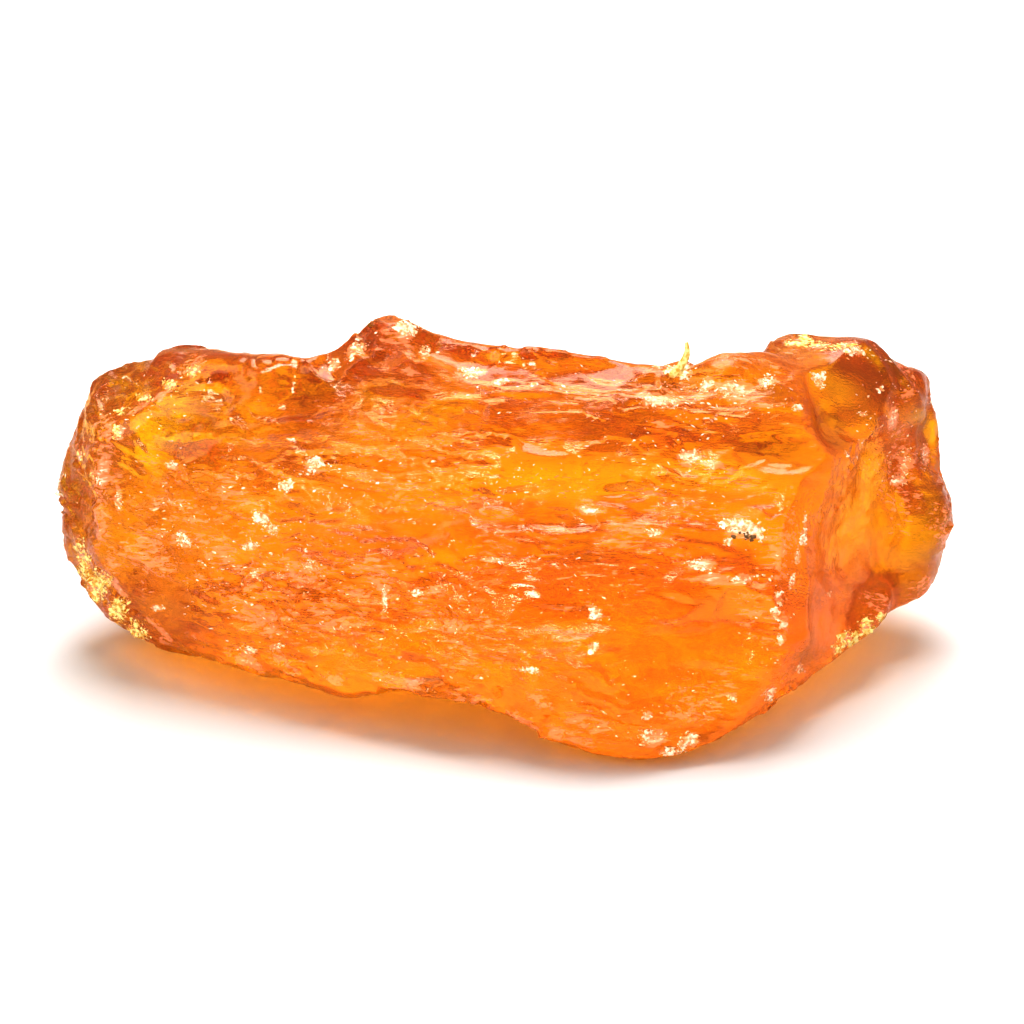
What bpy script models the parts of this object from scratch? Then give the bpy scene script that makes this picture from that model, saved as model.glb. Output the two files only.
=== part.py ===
"""A piece of raw amber, one broken lump of fossil resin lying on its flattest side.

X runs along the lump, Y from its broad front face to its back, and Z up. The origin is on the
resting face, under the middle of the lump. Lengths in the tables are millimetres.
"""

from math import radians

import bmesh
import bpy
from mathutils import Euler, Matrix, Vector, noise

MM = 0.001
LENGTH = 63.0 * MM
DEPTH = 30.7 * MM
HEIGHT = 25.0 * MM
REST_CUT = 0.35 * MM  # taken off the underside to give the flat that the lump stands on

GRAIN = 0.42 * MM  # size of the even mesh that the unevenness is pushed into
TRIANGLES = 8400  # the even mesh is thinned to this many

# Unevenness of the broken skin, in millimetres: how far apart its ribs, swells and pits are, and
# how high they stand.
RIB_LENGTH = 11.0
RIB_WIDTH = 3.0
RIB_HEIGHT = 0.34
RIB_LEVEL = 1.1  # mean of the ridged noise, taken off it so that ribs neither fill nor hollow
RIB_SLANT = 0.12  # the ribs drop this much for each millimetre to the right
RIB_SWAY = 0.55
RIB_FRACTAL = (1.0, 2.1, 2.0, 1.0, 2.0)  # roughness, lacunarity, octaves, offset and gain
SWAY_SPAN = (12.0, 9.0, 7.0)
BACK_RIBS = 0.3  # share of the ribs that the smoother back and ends have
FRONT_TURN = 1.5  # how fast the ribs fade as the skin turns away from the front
SWELL = 7.0
SWELL_HEIGHT = 0.30
PITTING = 1.9
PITTING_HEIGHT = 0.10

# The balls that the breaks are cut with are dented, so that no dish is quite round.
DENT_WIDTH = 4.5
DENT_DEPTH = 0.55
DENT_SHARE = 0.15  # of a small ball's radius, which is never dented deeper

# The corners of the lump before anything broke out of it. Their hull is the rough block.
CORNERS = {
    "peak": (-8.0, 3.0, 25.2),
    "left_knob": (-21.4, 6.0, 21.4),
    "left_knob_front": (-21.4, 1.8, 21.0),
    "left_shoulder": (-28.4, 5.5, 19.6),
    "left_shoulder_back": (-27.0, 11.5, 15.6),
    "left_tip_high": (-29.4, 4.0, 15.2),
    "left_tip": (-31.5, 4.5, 10.7),
    "left_tip_low": (-31.6, 4.0, 6.4),
    "left_heel": (-30.0, 3.8, 2.9),
    "left_heel_front": (-26.8, 0.8, 1.6),
    "left_edge_high": (-26.7, 0.4, 17.6),
    "left_edge_middle": (-28.1, -0.6, 14.4),
    "left_edge_low": (-28.4, -1.6, 10.0),
    "left_edge_foot": (-25.6, -2.8, 5.0),
    "left_front_low": (-24.3, -2.6, 2.2),
    "front_low_left": (-20.4, -5.4, 2.5),
    "front_low": (-13.7, -8.4, 2.9),
    "front_low_middle": (-6.0, -11.4, 3.3),
    "near_corner_left": (2.6, -14.2, 2.2),
    "near_corner": (8.6, -14.6, 0.4),
    "near_corner_right": (12.4, -14.4, 1.1),
    "front_belly": (5.5, -13.9, 7.0),
    "brow_left": (-6.9, 1.0, 24.9),
    "brow_middle": (3.8, -1.4, 21.9),
    "brow_right": (17.1, -1.3, 22.0),
    "brow_end": (20.3, 0.5, 21.8),
    "crown_right": (20.5, 6.6, 21.3),
    "crown_end": (24.2, 7.8, 21.2),
    "right_shoulder": (27.8, 8.6, 20.4),
    "right_shoulder_low": (30.0, 8.6, 17.8),
    "right_high": (30.6, 8.5, 15.2),
    "right_middle": (31.6, 7.0, 10.4),
    "right_tip": (32.4, 5.0, 6.0),
    "right_heel": (30.2, 1.8, 4.8),
    "right_low": (26.0, -2.8, 4.0),
    "right_low_near": (21.6, -6.8, 3.6),
    "ridge_foot": (15.6, -12.8, 1.9),
    "ridge_low": (18.4, -11.6, 8.0),
    "ridge_middle": (19.2, -10.2, 10.6),
    "ridge_high": (20.2, -6.8, 15.9),
    "ridge_top": (21.9, -3.4, 18.9),
    "back_top_left": (-19.5, 11.6, 17.4),
    "back_top_middle_left": (-10.0, 14.6, 14.2),
    "back_top_middle": (1.0, 12.2, 17.6),
    "back_top_middle_right": (12.0, 14.8, 15.2),
    "back_top_right": (21.5, 13.0, 17.4),
    "back_waist_left": (-24.5, 12.6, 11.0),
    "back_waist_middle_left": (-14.0, 15.8, 6.4),
    "back_waist_middle": (-1.0, 15.4, 11.2),
    "back_waist_middle_right": (9.5, 16.4, 6.8),
    "back_waist_right": (24.0, 13.8, 10.4),
    "foot_near": (9.0, -13.0, 0.0),
    "foot_near_right": (13.5, -10.5, 0.0),
    "foot_right": (22.0, 0.0, 0.0),
    "foot_back_right": (20.0, 9.0, 0.0),
    "foot_back_middle": (7.0, 12.6, 0.0),
    "foot_back": (-5.0, 11.6, 0.0),
    "foot_back_left": (-19.0, 10.2, 0.0),
    "foot_left": (-23.5, 5.0, 0.0),
    "foot_front_left": (-15.0, -1.5, 0.0),
    "foot_front": (0.0, -8.5, 0.0),
}

# Deep breaks: the middle of each, its three radii, and its turn about X, Y and Z in degrees.
BREAKS = {
    "saddle": ((-13.3, 8.5, 27.6), (7.0, 17.0, 7.9), (-32, 0, 0)),
    "saddle_left": ((-17.6, 8.5, 33.9), (7.0, 17.0, 14.0), (-32, 0, 0)),
    "brow": ((5.2, 9.5, 29.4), (18.0, 18.0, 10.0), (-32, 0, 0)),
    "dip": ((12.3, 6.5, 24.3), (8.6, 15.0, 5.0), (-32, 0, 0)),
    "thumbprint": ((-18.9, -1.3, 21.6), (2.8, 3.2, 2.8), (0, 0, 0)),
    "right_face": ((42.0, -17.0, 14.5), (24.2, 24.2, 24.2), (0, 0, 0)),
    "left_chip": ((-34.2, -4.0, 15.0), (6.4, 7.5, 8.0), (0, -10, 0)),
    "front_arch": ((-4.5, -12.5, -1.0), (8.5, 7.0, 4.7), (0, 6, -18)),
    "crust_pit": ((15.6, -10.2, 15.4), (1.9, 1.9, 1.3), (-35, 0, 0)),
    "back": ((4.0, 25.5, 20.0), (17.0, 11.5, 11.0), (20, 0, 6)),
    "back_chip": ((-20.0, 23.0, 10.0), (10.0, 9.0, 9.0), (0, 0, -15)),
    "back_notch": ((17.0, 21.5, 3.0), (8.0, 7.6, 9.0), (0, 0, 12)),
}

# Shell-shaped flakes, each a shallow round dish: the spot on the skin that it is struck from, the
# way it faces, the radius of its curve, and its depth.
FLAKES = {
    "brow_left": ((-1.6, -0.7, 23.2), (0.0, -0.50, 0.87), 11.0, 1.0),
    "brow_middle": ((6.4, -1.1, 22.7), (0.05, -0.50, 0.87), 11.0, 1.0),
    "brow_notch": ((11.8, -0.6, 23.0), (0.10, -0.40, 0.91), 8.0, 1.3),
    "brow_ledge": ((15.6, -1.6, 22.0), (0.0, -0.60, 0.80), 6.0, 0.8),
    "shield": ((23.2, 0.2, 19.9), (0.50, -0.65, 0.57), 7.0, 1.0),
    "shoulder": ((28.4, 4.6, 18.6), (0.80, -0.44, 0.42), 8.0, 0.9),
    "right_high": ((27.0, 2.2, 13.6), (0.66, -0.72, 0.20), 12.0, 0.8),
    "right_tip": ((30.4, 3.2, 8.4), (0.85, -0.50, -0.15), 9.0, 0.6),
    "ridge_flank": ((13.8, -11.6, 8.6), (0.16, -0.94, 0.28), 22.0, 0.8),
    "left_bevel": ((-30.0, 1.2, 11.0), (-0.84, -0.54, 0.12), 13.0, 0.8),
    "left_crown": ((-25.6, 3.4, 20.0), (-0.42, -0.30, 0.86), 9.0, 0.9),
    "left_heel": ((-27.4, -0.9, 3.8), (-0.62, -0.60, -0.50), 9.0, 0.6),
    "peak_back": ((-6.0, 8.0, 21.4), (0.25, 0.55, 0.80), 12.0, 1.6),
    "back_high_left": ((-21.0, 10.8, 17.2), (-0.30, 0.66, 0.70), 15.0, 1.3),
    "back_high_right": ((24.0, 11.4, 16.8), (0.35, 0.70, 0.62), 14.0, 1.3),
    "back_middle_left": ((-16.0, 13.6, 11.0), (-0.25, 0.94, 0.20), 17.0, 1.2),
    "back_middle": ((3.5, 14.8, 11.5), (0.10, 0.96, 0.26), 15.0, 1.3),
    "back_middle_right": ((15.5, 14.8, 10.0), (0.25, 0.96, 0.12), 13.0, 1.2),
    "back_low_left": ((-12.0, 13.6, 3.4), (-0.10, 0.85, -0.50), 14.0, 1.1),
    "back_low_middle": ((2.0, 14.4, 3.6), (0.05, 0.87, -0.48), 11.0, 1.2),
    "back_low_right": ((15.0, 13.4, 3.6), (0.25, 0.82, -0.50), 12.0, 1.1),
    "back_right_end": ((27.8, 10.6, 9.0), (0.78, 0.62, -0.05), 15.0, 1.2),
    "back_right_heel": ((27.0, 6.0, 2.2), (0.60, 0.25, -0.75), 12.0, 1.0),
    "back_left_end": ((-28.3, 9.2, 9.0), (-0.84, 0.54, 0.0), 14.0, 1.2),
    "back_left_heel": ((-25.5, 8.4, 2.6), (-0.62, 0.40, -0.68), 12.0, 1.0),
}

# Lumps of crust and resin that stand on the block: middle, radii and turn, as for the breaks.
LUMPS = {
    "splinter": ((12.2, 3.4, 21.6), (0.6, 0.6, 1.5), (0, 22, 0)),
    "splinter_foot": ((11.7, 2.8, 20.6), (1.5, 1.2, 1.0), (0, 0, 0)),
    "crown_crust": ((20.2, 6.2, 20.9), (2.4, 1.7, 0.9), (0, 0, 0)),
    "peak_crust": ((-7.0, 1.6, 24.0), (1.3, 1.0, 1.2), (0, 0, 0)),
    "heel_crust": ((-28.0, 2.0, 5.4), (1.3, 1.3, 2.2), (0, 28, 0)),
    "hem_crust": ((24.6, -2.6, 4.6), (3.0, 1.5, 1.3), (0, -22, 38)),
}


def rough_block():
    """The lump as it was before it broke: the hull of its corners."""
    bm = bmesh.new()
    for place in CORNERS.values():
        bm.verts.new(Vector(place) * MM)
    hull = bmesh.ops.convex_hull(bm, input=bm.verts, use_existing_faces=False)
    inside = {v for v in hull["geom_interior"] + hull["geom_unused"] if isinstance(v, bmesh.types.BMVert)}
    bmesh.ops.delete(bm, geom=list(inside), context="VERTS")
    bmesh.ops.recalc_face_normals(bm, faces=bm.faces)
    mesh = bpy.data.meshes.new("raw_amber")
    bm.to_mesh(mesh)
    bm.free()
    return mesh


def ellipsoid(name, middle, radii, turn):
    """A hidden, slightly dented ellipsoid that a Boolean takes from the block or joins to it."""
    bm = bmesh.new()
    bmesh.ops.create_icosphere(bm, subdivisions=5, radius=1.0)
    size = Matrix.Diagonal((*radii, 1.0))
    spin = Euler([radians(a) for a in turn]).to_matrix().to_4x4()
    bmesh.ops.transform(bm, verts=bm.verts, matrix=Matrix.Translation(middle) @ spin @ size)
    for vert in bm.verts:
        dent = noise.noise(vert.co / DENT_WIDTH) * min(DENT_DEPTH, DENT_SHARE * min(radii))
        vert.co += (vert.co - Vector(middle)).normalized() * dent
    bmesh.ops.scale(bm, verts=bm.verts, vec=(MM, MM, MM))
    mesh = bpy.data.meshes.new(name)
    bm.to_mesh(mesh)
    bm.free()
    shape = bpy.data.objects.new(name, mesh)
    shape.hide_render = True
    shape.display_type = "WIRE"
    bpy.context.scene.collection.objects.link(shape)
    return shape


def flake(name, spot, facing, radius, depth):
    """A hidden ball that takes one shallow dish out of the skin at the spot."""
    middle = Vector(spot) + Vector(facing).normalized() * (radius - depth)
    return ellipsoid(name, middle, (radius, radius, radius), (0, 0, 0))


def apply_modifiers(obj):
    """Bakes the object's modifiers into its mesh."""
    bpy.context.view_layer.update()
    evaluated = obj.evaluated_get(bpy.context.evaluated_depsgraph_get())
    mesh = bpy.data.meshes.new_from_object(evaluated)
    obj.modifiers.clear()
    obj.data = mesh


def unevenness(place, normal):
    """How far the broken skin stands proud at a place: both it and the place in millimetres."""
    x, y, z = place
    sway = noise.noise_vector(Vector((x / SWAY_SPAN[0], y / SWAY_SPAN[1], z / SWAY_SPAN[2]))) * RIB_SWAY
    flow = Vector((x / RIB_LENGTH, y / RIB_WIDTH, (z + RIB_SLANT * x) / RIB_WIDTH)) + sway
    ribs = noise.ridged_multi_fractal(flow, *RIB_FRACTAL) - RIB_LEVEL
    share = max(BACK_RIBS, min(1.0, BACK_RIBS - FRONT_TURN * normal.y))
    swell = noise.noise(place / SWELL)
    pits = noise.noise(place / PITTING)
    return RIB_HEIGHT * share * ribs + SWELL_HEIGHT * swell + PITTING_HEIGHT * pits


def roughen(mesh):
    """Pushes the unevenness of the breaks into the even mesh."""
    bm = bmesh.new()
    bm.from_mesh(mesh)
    bm.normal_update()
    moves = [v.normal * unevenness(v.co / MM, v.normal) * MM for v in bm.verts]
    for vert, move in zip(bm.verts, moves):
        vert.co += move
    bm.to_mesh(mesh)
    bm.free()


def extents(bm):
    """Lowest and highest corners of a mesh."""
    low = Vector([min(v.co[i] for v in bm.verts) for i in range(3)])
    high = Vector([max(v.co[i] for v in bm.verts) for i in range(3)])
    return low, high


def set_on_foot(mesh):
    """Cuts the underside flat, and puts the origin under the middle of the lump at its real size."""
    bm = bmesh.new()
    bm.from_mesh(mesh)
    low, high = extents(bm)
    geometry = bm.verts[:] + bm.edges[:] + bm.faces[:]
    cut = bmesh.ops.bisect_plane(
        bm, geom=geometry, plane_co=(0, 0, low.z + REST_CUT), plane_no=(0, 0, 1), clear_inner=True
    )
    rim = [e for e in cut["geom_cut"] if isinstance(e, bmesh.types.BMEdge)]
    bmesh.ops.triangle_fill(bm, use_beauty=True, use_dissolve=False, edges=rim)
    bmesh.ops.recalc_face_normals(bm, faces=bm.faces)
    low, high = extents(bm)
    size = high - low
    to_origin = Matrix.Translation((-low.x - size.x / 2, -low.y - size.y / 2, -low.z))
    to_size = Matrix.Diagonal((LENGTH / size.x, DEPTH / size.y, HEIGHT / size.z, 1.0))
    bmesh.ops.transform(bm, verts=bm.verts, matrix=to_size @ to_origin)
    bm.to_mesh(mesh)
    bm.free()


def amber_material():
    """Clear fossil resin with a soft gloss."""
    material = bpy.data.materials.new("amber")
    material.use_nodes = True
    shader = material.node_tree.nodes["Principled BSDF"]
    shader.inputs["Base Color"].default_value = (0.90, 0.27, 0.02, 1.0)
    shader.inputs["Roughness"].default_value = 0.25
    shader.inputs["Metallic"].default_value = 0.0
    shader.inputs["IOR"].default_value = 1.54
    return material


def raw_amber():
    """The whole lump as one closed solid."""
    amber = bpy.data.objects.new("raw_amber", rough_block())
    bpy.context.scene.collection.objects.link(amber)
    taken = [ellipsoid(name, *shape) for name, shape in BREAKS.items()]
    taken += [flake(name, *shape) for name, shape in FLAKES.items()]
    added = [ellipsoid(name, *shape) for name, shape in LUMPS.items()]
    for operation, shapes in (("DIFFERENCE", taken), ("UNION", added)):
        for shape in shapes:
            change = amber.modifiers.new(shape.name, "BOOLEAN")
            change.operation = operation
            change.object = shape
    even = amber.modifiers.new("even", "REMESH")
    even.mode = "VOXEL"
    even.voxel_size = GRAIN
    apply_modifiers(amber)
    for shape in taken + added:
        bpy.data.objects.remove(shape)
    roughen(amber.data)
    thin = amber.modifiers.new("thin", "DECIMATE")
    triangles = sum(len(p.vertices) - 2 for p in amber.data.polygons)
    thin.ratio = TRIANGLES / triangles
    apply_modifiers(amber)
    set_on_foot(amber.data)
    amber.data.materials.append(amber_material())
    return amber


for leftover in list(bpy.data.objects):
    bpy.data.objects.remove(leftover)
raw_amber()
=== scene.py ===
import random
from math import cos, pi, radians, sin, tau

import bmesh
import bpy
import numpy as np
from mathutils import Matrix, Vector, noise
from mathutils.bvhtree import BVHTree


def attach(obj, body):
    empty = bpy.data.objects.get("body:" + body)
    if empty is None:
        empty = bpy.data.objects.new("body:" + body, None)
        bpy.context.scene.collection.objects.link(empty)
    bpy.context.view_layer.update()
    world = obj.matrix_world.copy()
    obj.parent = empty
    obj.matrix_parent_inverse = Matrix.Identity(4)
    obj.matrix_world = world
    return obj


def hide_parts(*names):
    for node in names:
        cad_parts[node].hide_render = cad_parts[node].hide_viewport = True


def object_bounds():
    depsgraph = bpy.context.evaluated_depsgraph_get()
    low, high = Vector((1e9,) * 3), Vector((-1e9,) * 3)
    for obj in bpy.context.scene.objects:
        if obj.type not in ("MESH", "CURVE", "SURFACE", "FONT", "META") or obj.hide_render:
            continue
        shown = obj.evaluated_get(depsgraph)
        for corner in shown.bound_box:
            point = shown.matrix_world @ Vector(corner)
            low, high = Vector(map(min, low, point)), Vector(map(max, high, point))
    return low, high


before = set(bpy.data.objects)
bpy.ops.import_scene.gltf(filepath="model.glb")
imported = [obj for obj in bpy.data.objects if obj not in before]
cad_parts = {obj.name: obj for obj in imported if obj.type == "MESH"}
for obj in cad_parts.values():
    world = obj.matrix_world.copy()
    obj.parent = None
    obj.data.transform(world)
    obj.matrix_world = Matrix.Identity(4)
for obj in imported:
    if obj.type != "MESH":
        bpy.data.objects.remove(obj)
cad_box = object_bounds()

# --- Camera -------------------------------------------------------------------------------------
# A short telephoto close above the table, looking along the broad front face.
MM = 0.001
CAMERA_LENS = 100.0
CAMERA_SENSOR = 36.0
CAMERA_HEIGHT_ANGLE = radians(28.0)
CAMERA_DISTANCE = 196.0 * MM
CAMERA_AIM = Vector((0.5, 0.0, 11.0)) * MM

camera = bpy.data.objects.new("camera", bpy.data.cameras.new("camera"))
camera.data.lens = CAMERA_LENS
camera.data.sensor_width = CAMERA_SENSOR
camera.data.clip_start = 1.0 * MM
towards_camera = Vector((0.0, -cos(CAMERA_HEIGHT_ANGLE), sin(CAMERA_HEIGHT_ANGLE)))
camera.location = CAMERA_AIM + towards_camera * CAMERA_DISTANCE
camera.rotation_euler = (-towards_camera).to_track_quat("-Z", "Y").to_euler()
bpy.context.scene.collection.objects.link(camera)
bpy.context.scene.camera = camera

# --- Table --------------------------------------------------------------------------------------
# The white table that the lump lies on: a sheet of matt paper.
TABLE_SIDE = 4.0  # metres, so that it fills the picture
TABLE_GAP = 0.03 * MM  # the few high points that the lump stands on, too small to model
PAPER_WHITE = "F4F4F4"
PAPER_ROUGHNESS = 0.9


def linear(srgb):
    """An sRGB hex colour as linear RGBA."""
    parts = [int(srgb[i : i + 2], 16) / 255 for i in (0, 2, 4)]
    return (*[c / 12.92 if c <= 0.04045 else ((c + 0.055) / 1.055) ** 2.4 for c in parts], 1.0)


def add_node(tree, kind, links=None, **settings):
    """Adds a node. A setting is a property, or a socket given as in_NAME; links are {socket: output}."""
    node = tree.nodes.new(kind)
    for key, value in settings.items():
        if key.startswith("in_"):
            name = key[3:].replace("_", " ")
            node.inputs[int(name) if name.isdigit() else name].default_value = value
        else:
            setattr(node, key, value)
    for socket, output in (links or {}).items():
        tree.links.new(output, node.inputs[socket])
    return node


def piece_from(bm, name, material):
    """Makes an object from a bmesh, smooth, with one material."""
    mesh = bpy.data.meshes.new(name)
    bm.to_mesh(mesh)
    bm.free()
    mesh.shade_smooth()
    mesh.materials.append(material)
    piece = bpy.data.objects.new(name, mesh)
    bpy.context.scene.collection.objects.link(piece)
    return piece


# Matt paper scatters light evenly, so that only the shadow and the orange glow show on it.
paper = bpy.data.materials.new("matt white paper")
paper.use_nodes = True
shader = paper.node_tree.nodes["Principled BSDF"]
shader.inputs["Base Color"].default_value = linear(PAPER_WHITE)
shader.inputs["Roughness"].default_value = PAPER_ROUGHNESS
table_bm = bmesh.new()
under = Matrix.Translation((0.0, 0.0, -TABLE_GAP))
bmesh.ops.create_grid(table_bm, x_segments=1, y_segments=1, size=TABLE_SIDE / 2, matrix=under)
table = piece_from(table_bm, "table", paper)

# --- Light --------------------------------------------------------------------------------------
# A softbox above and behind the lump, so that the light comes through it, in a white room. Four
# weaker lamps on the camera's side give the skin its sheen and the pale crust its brightness.
PICTURE_GAMMA = 0.65
ROOM_WHITE = "FFFFFF"
ROOM_BRIGHT = 0.75  # towards the window, high behind the lump
ROOM_DIM = 0.4  # low in front of it
WINDOW_WAY = (0.0, 0.6, 0.8)
DIM_BELOW, BRIGHT_ABOVE = -0.7, 0.5  # cosines of the angle from the window
LIGHT_BOUNCES = 16  # enough to pass through the folds of the clear amber
GLOSS_BOUNCES = 8
SOFTBOX_SIDE = 280.0 * MM
SOFTBOX_PLACE = Vector((10.0, 130.0, 320.0)) * MM
SOFTBOX_POWER = 1.35
FILL_SIDE = 260.0 * MM
FILL_PLACE = Vector((-260.0, -110.0, 250.0)) * MM
FILL_POWER = 0.35
SPARK_SIDE = 95.0 * MM
SPARK_PLACE = Vector((-77.0, -144.0, 366.0)) * MM
SPARK_POWER = 0.32
GLINT_SIDE = 40.0 * MM
GLINT_PLACE = Vector((-90.0, -270.0, 215.0)) * MM
GLINT_POWER = 0.09
WASH_SIDE = 300.0 * MM
WASH_PLACE = Vector((-60.0, -380.0, 220.0)) * MM
WASH_POWER = 1.0

world = bpy.data.worlds.new("studio")
world.use_nodes = True
bpy.context.scene.world = world
sky = world.node_tree
sky.nodes["Background"].inputs["Color"].default_value = linear(ROOM_WHITE)
direction = add_node(sky, "ShaderNodeTexCoord").outputs["Generated"]
ahead = add_node(sky, "ShaderNodeVectorMath", {0: direction}, operation="DOT_PRODUCT", in_1=WINDOW_WAY)
glow = add_node(sky, "ShaderNodeMapRange", {"Value": ahead.outputs["Value"]}, in_To_Min=ROOM_DIM,
                in_To_Max=ROOM_BRIGHT, in_From_Min=DIM_BELOW, in_From_Max=BRIGHT_ABOVE)
sky.links.new(glow.outputs[0], sky.nodes["Background"].inputs["Strength"])


def softbox(name, place, side, power):
    """A round lamp that faces the lump."""
    lamp = bpy.data.objects.new(name, bpy.data.lights.new(name, "AREA"))
    lamp.data.shape = "DISK"
    lamp.data.size = side
    lamp.data.energy = power
    lamp.location = place
    lamp.rotation_euler = (place - CAMERA_AIM).to_track_quat("Z", "Y").to_euler()
    bpy.context.scene.collection.objects.link(lamp)
    return lamp


softbox("softbox", SOFTBOX_PLACE, SOFTBOX_SIDE, SOFTBOX_POWER)
fill = softbox("fill", FILL_PLACE, FILL_SIDE, FILL_POWER)
spark = softbox("spark", SPARK_PLACE, SPARK_SIDE, SPARK_POWER)
glint = softbox("glint", GLINT_PLACE, GLINT_SIDE, GLINT_POWER)
# Light that bounces off the studio's walls: it lights the matt crust alone, and throws no shadow.
wash = softbox("wash", WASH_PLACE, WASH_SIDE, WASH_POWER)
wash.data.use_shadow = False
wash.visible_glossy = False
wash.visible_transmission = False
# The lamps on the camera's side light the lump and not the table, which stays lit from behind.
lump_side = bpy.data.collections.new("lit from the front")
for lamp in (fill, spark, glint, wash):
    lamp.light_linking.receiver_collection = lump_side
bpy.context.scene.view_settings.view_transform = "Standard"
bpy.context.scene.view_settings.gamma = PICTURE_GAMMA
bpy.context.scene.cycles.max_bounces = LIGHT_BOUNCES
bpy.context.scene.cycles.transmission_bounces = LIGHT_BOUNCES
bpy.context.scene.cycles.glossy_bounces = GLOSS_BOUNCES

# --- Amber --------------------------------------------------------------------------------------
# The lump itself: one broken piece of clear fossil resin, with a ribbed, flaky front that weathered
# pale in streaks, which is partly painted sheen, and clear windows where it broke fresh. Nothing
# holds it; it lies on its underside.
AMBER_ORANGE = "F7B90A"
YELLOW_TONE_AND_PAINTED_GLOW = "FFEF21"  # painted glow, where light comes through thin places; also the yellow end of the random tint
BROWN_TONE_AND_PAINTED_SHADE = "BF9500"  # painted shade, in thick, shaded places; also the brown end of the random tint
AMBER_TINT = "FFE700"  # of the light that has passed through
AMBER_DEPTH = 90.0  # absorption, for each metre
AMBER_IOR = 1.54
CLEAR_ROUGHNESS = 0.06
WEATHERED_ROUGHNESS = 0.40
END_DULL = 0.3  # the right end is rubbed a little dull
# Salmon of the frosted skin: partly weathering, partly painted sheen.
SALMON_FROST_AND_SHEEN = "FAAF81"
FROST_CREAM = "FFF7E5"
FROST_REACH = 0.75  # how much the flaky streaks break it up
FROST_CLEAR = 0.50  # how much light still passes the frosted skin
FROST_EDGE, FROST_BLEND, FROST_TINT = 0.76, 0.12, 0.08  # where it starts, and over how much it sets in
CRUST_EDGE, CRUST_BLEND = 1.10, 0.20  # likewise for the cream skin under the crust
FLAKE_WIDTH = 0.2941 * MM
FLAKE_STRETCH = (0.2, 1.0, 1.0)  # flakes are five times as long, along the flow
FLAKE_CRISP = (0.32, 0.68)  # the part of the noise's range that is spread out
GRIT_SIZE = 0.125 * MM
GRIT_SHARE = 0.35
BUMP_DEPTH = 0.10 * MM

LUMP_GRAIN = 0.46 * MM  # the even mesh, halved on every face that points higher than this:
UNDERSIDE = -0.35
SOFTEN_ROUNDS = 3
SKIN_SEED = 5
WELD = 0.001 * MM

# Relief in millimetres. A size of three numbers is across, deep and high.
RIB_SIZE, RIB_HEIGHT, RIB_SWAY = (8.0, 1.8, 1.8), 0.20, 0.7
STREAK_SIZE, STREAK_HEIGHT, STREAK_SWAY = (3.2, 0.5, 0.5), 0.10, 1.5
SWAY_SIZE = (9.0, 7.0, 5.0)
LEDGE_PITCH, LEDGE_HEIGHT = 1.3, 0.68
LEDGE_WANDER, WANDER_SIZE = 1.4, (5.0, 3.0, 3.0)
LEDGE_WOBBLE, WOBBLE_SIZE = 0.5, 1.1
LEDGE_PATCH, LEDGE_ELSEWHERE, LEDGE_SHARE = (4.0, 2.0, 2.0), 28.0, 0.15
FINE_SIZE, FINE_HEIGHT = 0.8, 0.028
WORN_SIZE = (4.5, 2.0, 1.6)
RIDGE_MEAN = 1.1  # of Blender's ridged noise
OCTAVE_STEP = 2.1
BACK_RELIEF, FRONT_SHARE, FRONT_GAIN = 0.5, 0.35, 1.4  # the front is more deeply ribbed
FLOW_SLANT = 0.14  # the flow lines drop this much for each millimetre to the right
WINDOW_TILT = 8  # degrees, as the flow lines
WINDOW_CALM = 0.85  # how much of the relief and the frost is missing in a clear window
MOTTLE = 0.9  # how much the tint changes from streak to streak
STREAKY = 1.1  # how white the worn streaks are between the patches
PATCH_LEAST, PATCH_WORN = 0.6, 0.8  # how white a patch is, fresh and by wear
SATIN_LEAST, SATIN_WORN, SATIN_BACK = 0.1, 0.5, 0.8  # dullness: fresh, by wear, and on the back
AWAY_GAIN = 1.5

# Clear windows: image point, half length along the flow and half width across it.
WINDOWS = (
    (185, 432, 4.2, 2.6),
    (225, 388, 2.0, 2.4),
    (295, 380, 4.0, 3.0),
    (270, 357, 4.0, 4.0),
    (480, 360, 4.5, 1.6),
    (600, 372, 4.0, 1.4),
    (680, 650, 6.0, 5.4),
    (862, 545, 7.0, 7.0),
    (850, 382, 3.0, 3.0),
    (832, 428, 2.4, 2.6),
    (780, 450, 3.0, 1.6),
    (905, 390, 3.6, 3.6),
    (590, 590, 8.0, 2.6),
    (560, 470, 6.0, 1.6),
    (450, 540, 5.0, 1.5),
    (640, 430, 4.0, 1.2),
    (160, 620, 3.5, 1.2),
    (822, 610, 3.2, 5.2),
    (788, 560, 1.2, 6.0),
)

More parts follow.
